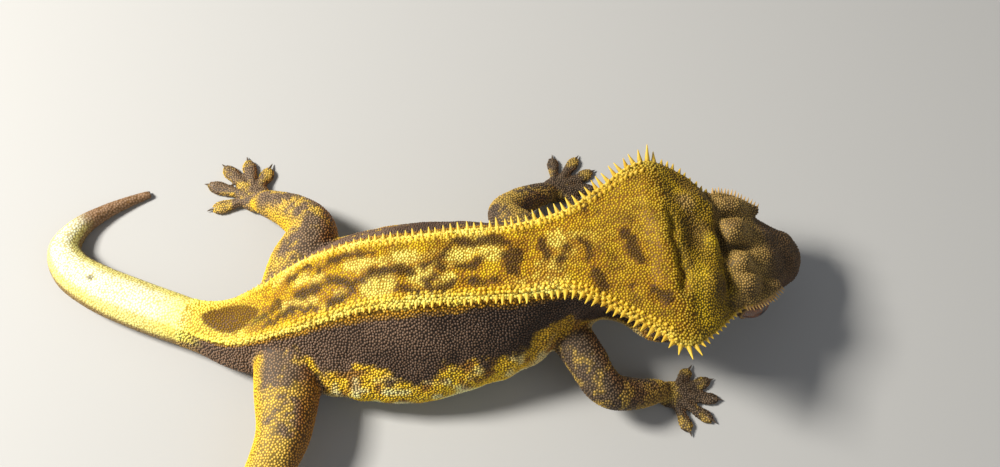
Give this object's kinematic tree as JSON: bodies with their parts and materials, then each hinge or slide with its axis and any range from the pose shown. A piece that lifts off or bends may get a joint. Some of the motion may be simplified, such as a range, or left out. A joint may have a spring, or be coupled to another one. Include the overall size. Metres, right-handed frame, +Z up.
{
  "type": "crested gecko",
  "caption": "Crested gecko at rest, flat-bellied on the floor, head raised, tail curled to one side and legs spread; a still, life-size model of the animal.",
  "frame": {"origin": "On the floor under the middle of the whole animal", "axes": "+X towards the head, +Y to the animal's left, +Z up"},
  "size_m": [0.1244, 0.0776, 0.0254],
  "materials": {
    "back_skin": "dry scaled skin, yellow mottled with brown, low sheen",
    "head_skin": "dry scaled skin, olive yellow mottled with brown, low sheen",
    "tail_skin": "smooth fine-scaled skin, pale cream, low sheen",
    "leg_skin": "dry scaled skin, grey brown with yellow mottling, low sheen",
    "eye": "wet glossy eye with a dark upright pupil"
  },
  "bodies": {
    "root": {"torso": "back_skin", "neck": "back_skin", "head": "head_skin", "eye_left": "eye", "eye_right": "eye", "tail_base": "tail_skin", "tail_middle": "tail_skin", "tail_end": "tail_skin", "tail_tip": "tail_skin", "upper_arm_front_left": "leg_skin", "forearm_front_left": "leg_skin", "hand_front_left": "leg_skin", "upper_arm_front_right": "leg_skin", "forearm_front_right": "leg_skin", "hand_front_right": "leg_skin", "thigh_hind_left": "leg_skin", "shin_hind_left": "leg_skin", "foot_hind_left": "leg_skin", "thigh_hind_right": "leg_skin", "shin_hind_right": "leg_skin", "foot_hind_right": "leg_skin"}
  },
  "joints": []
}
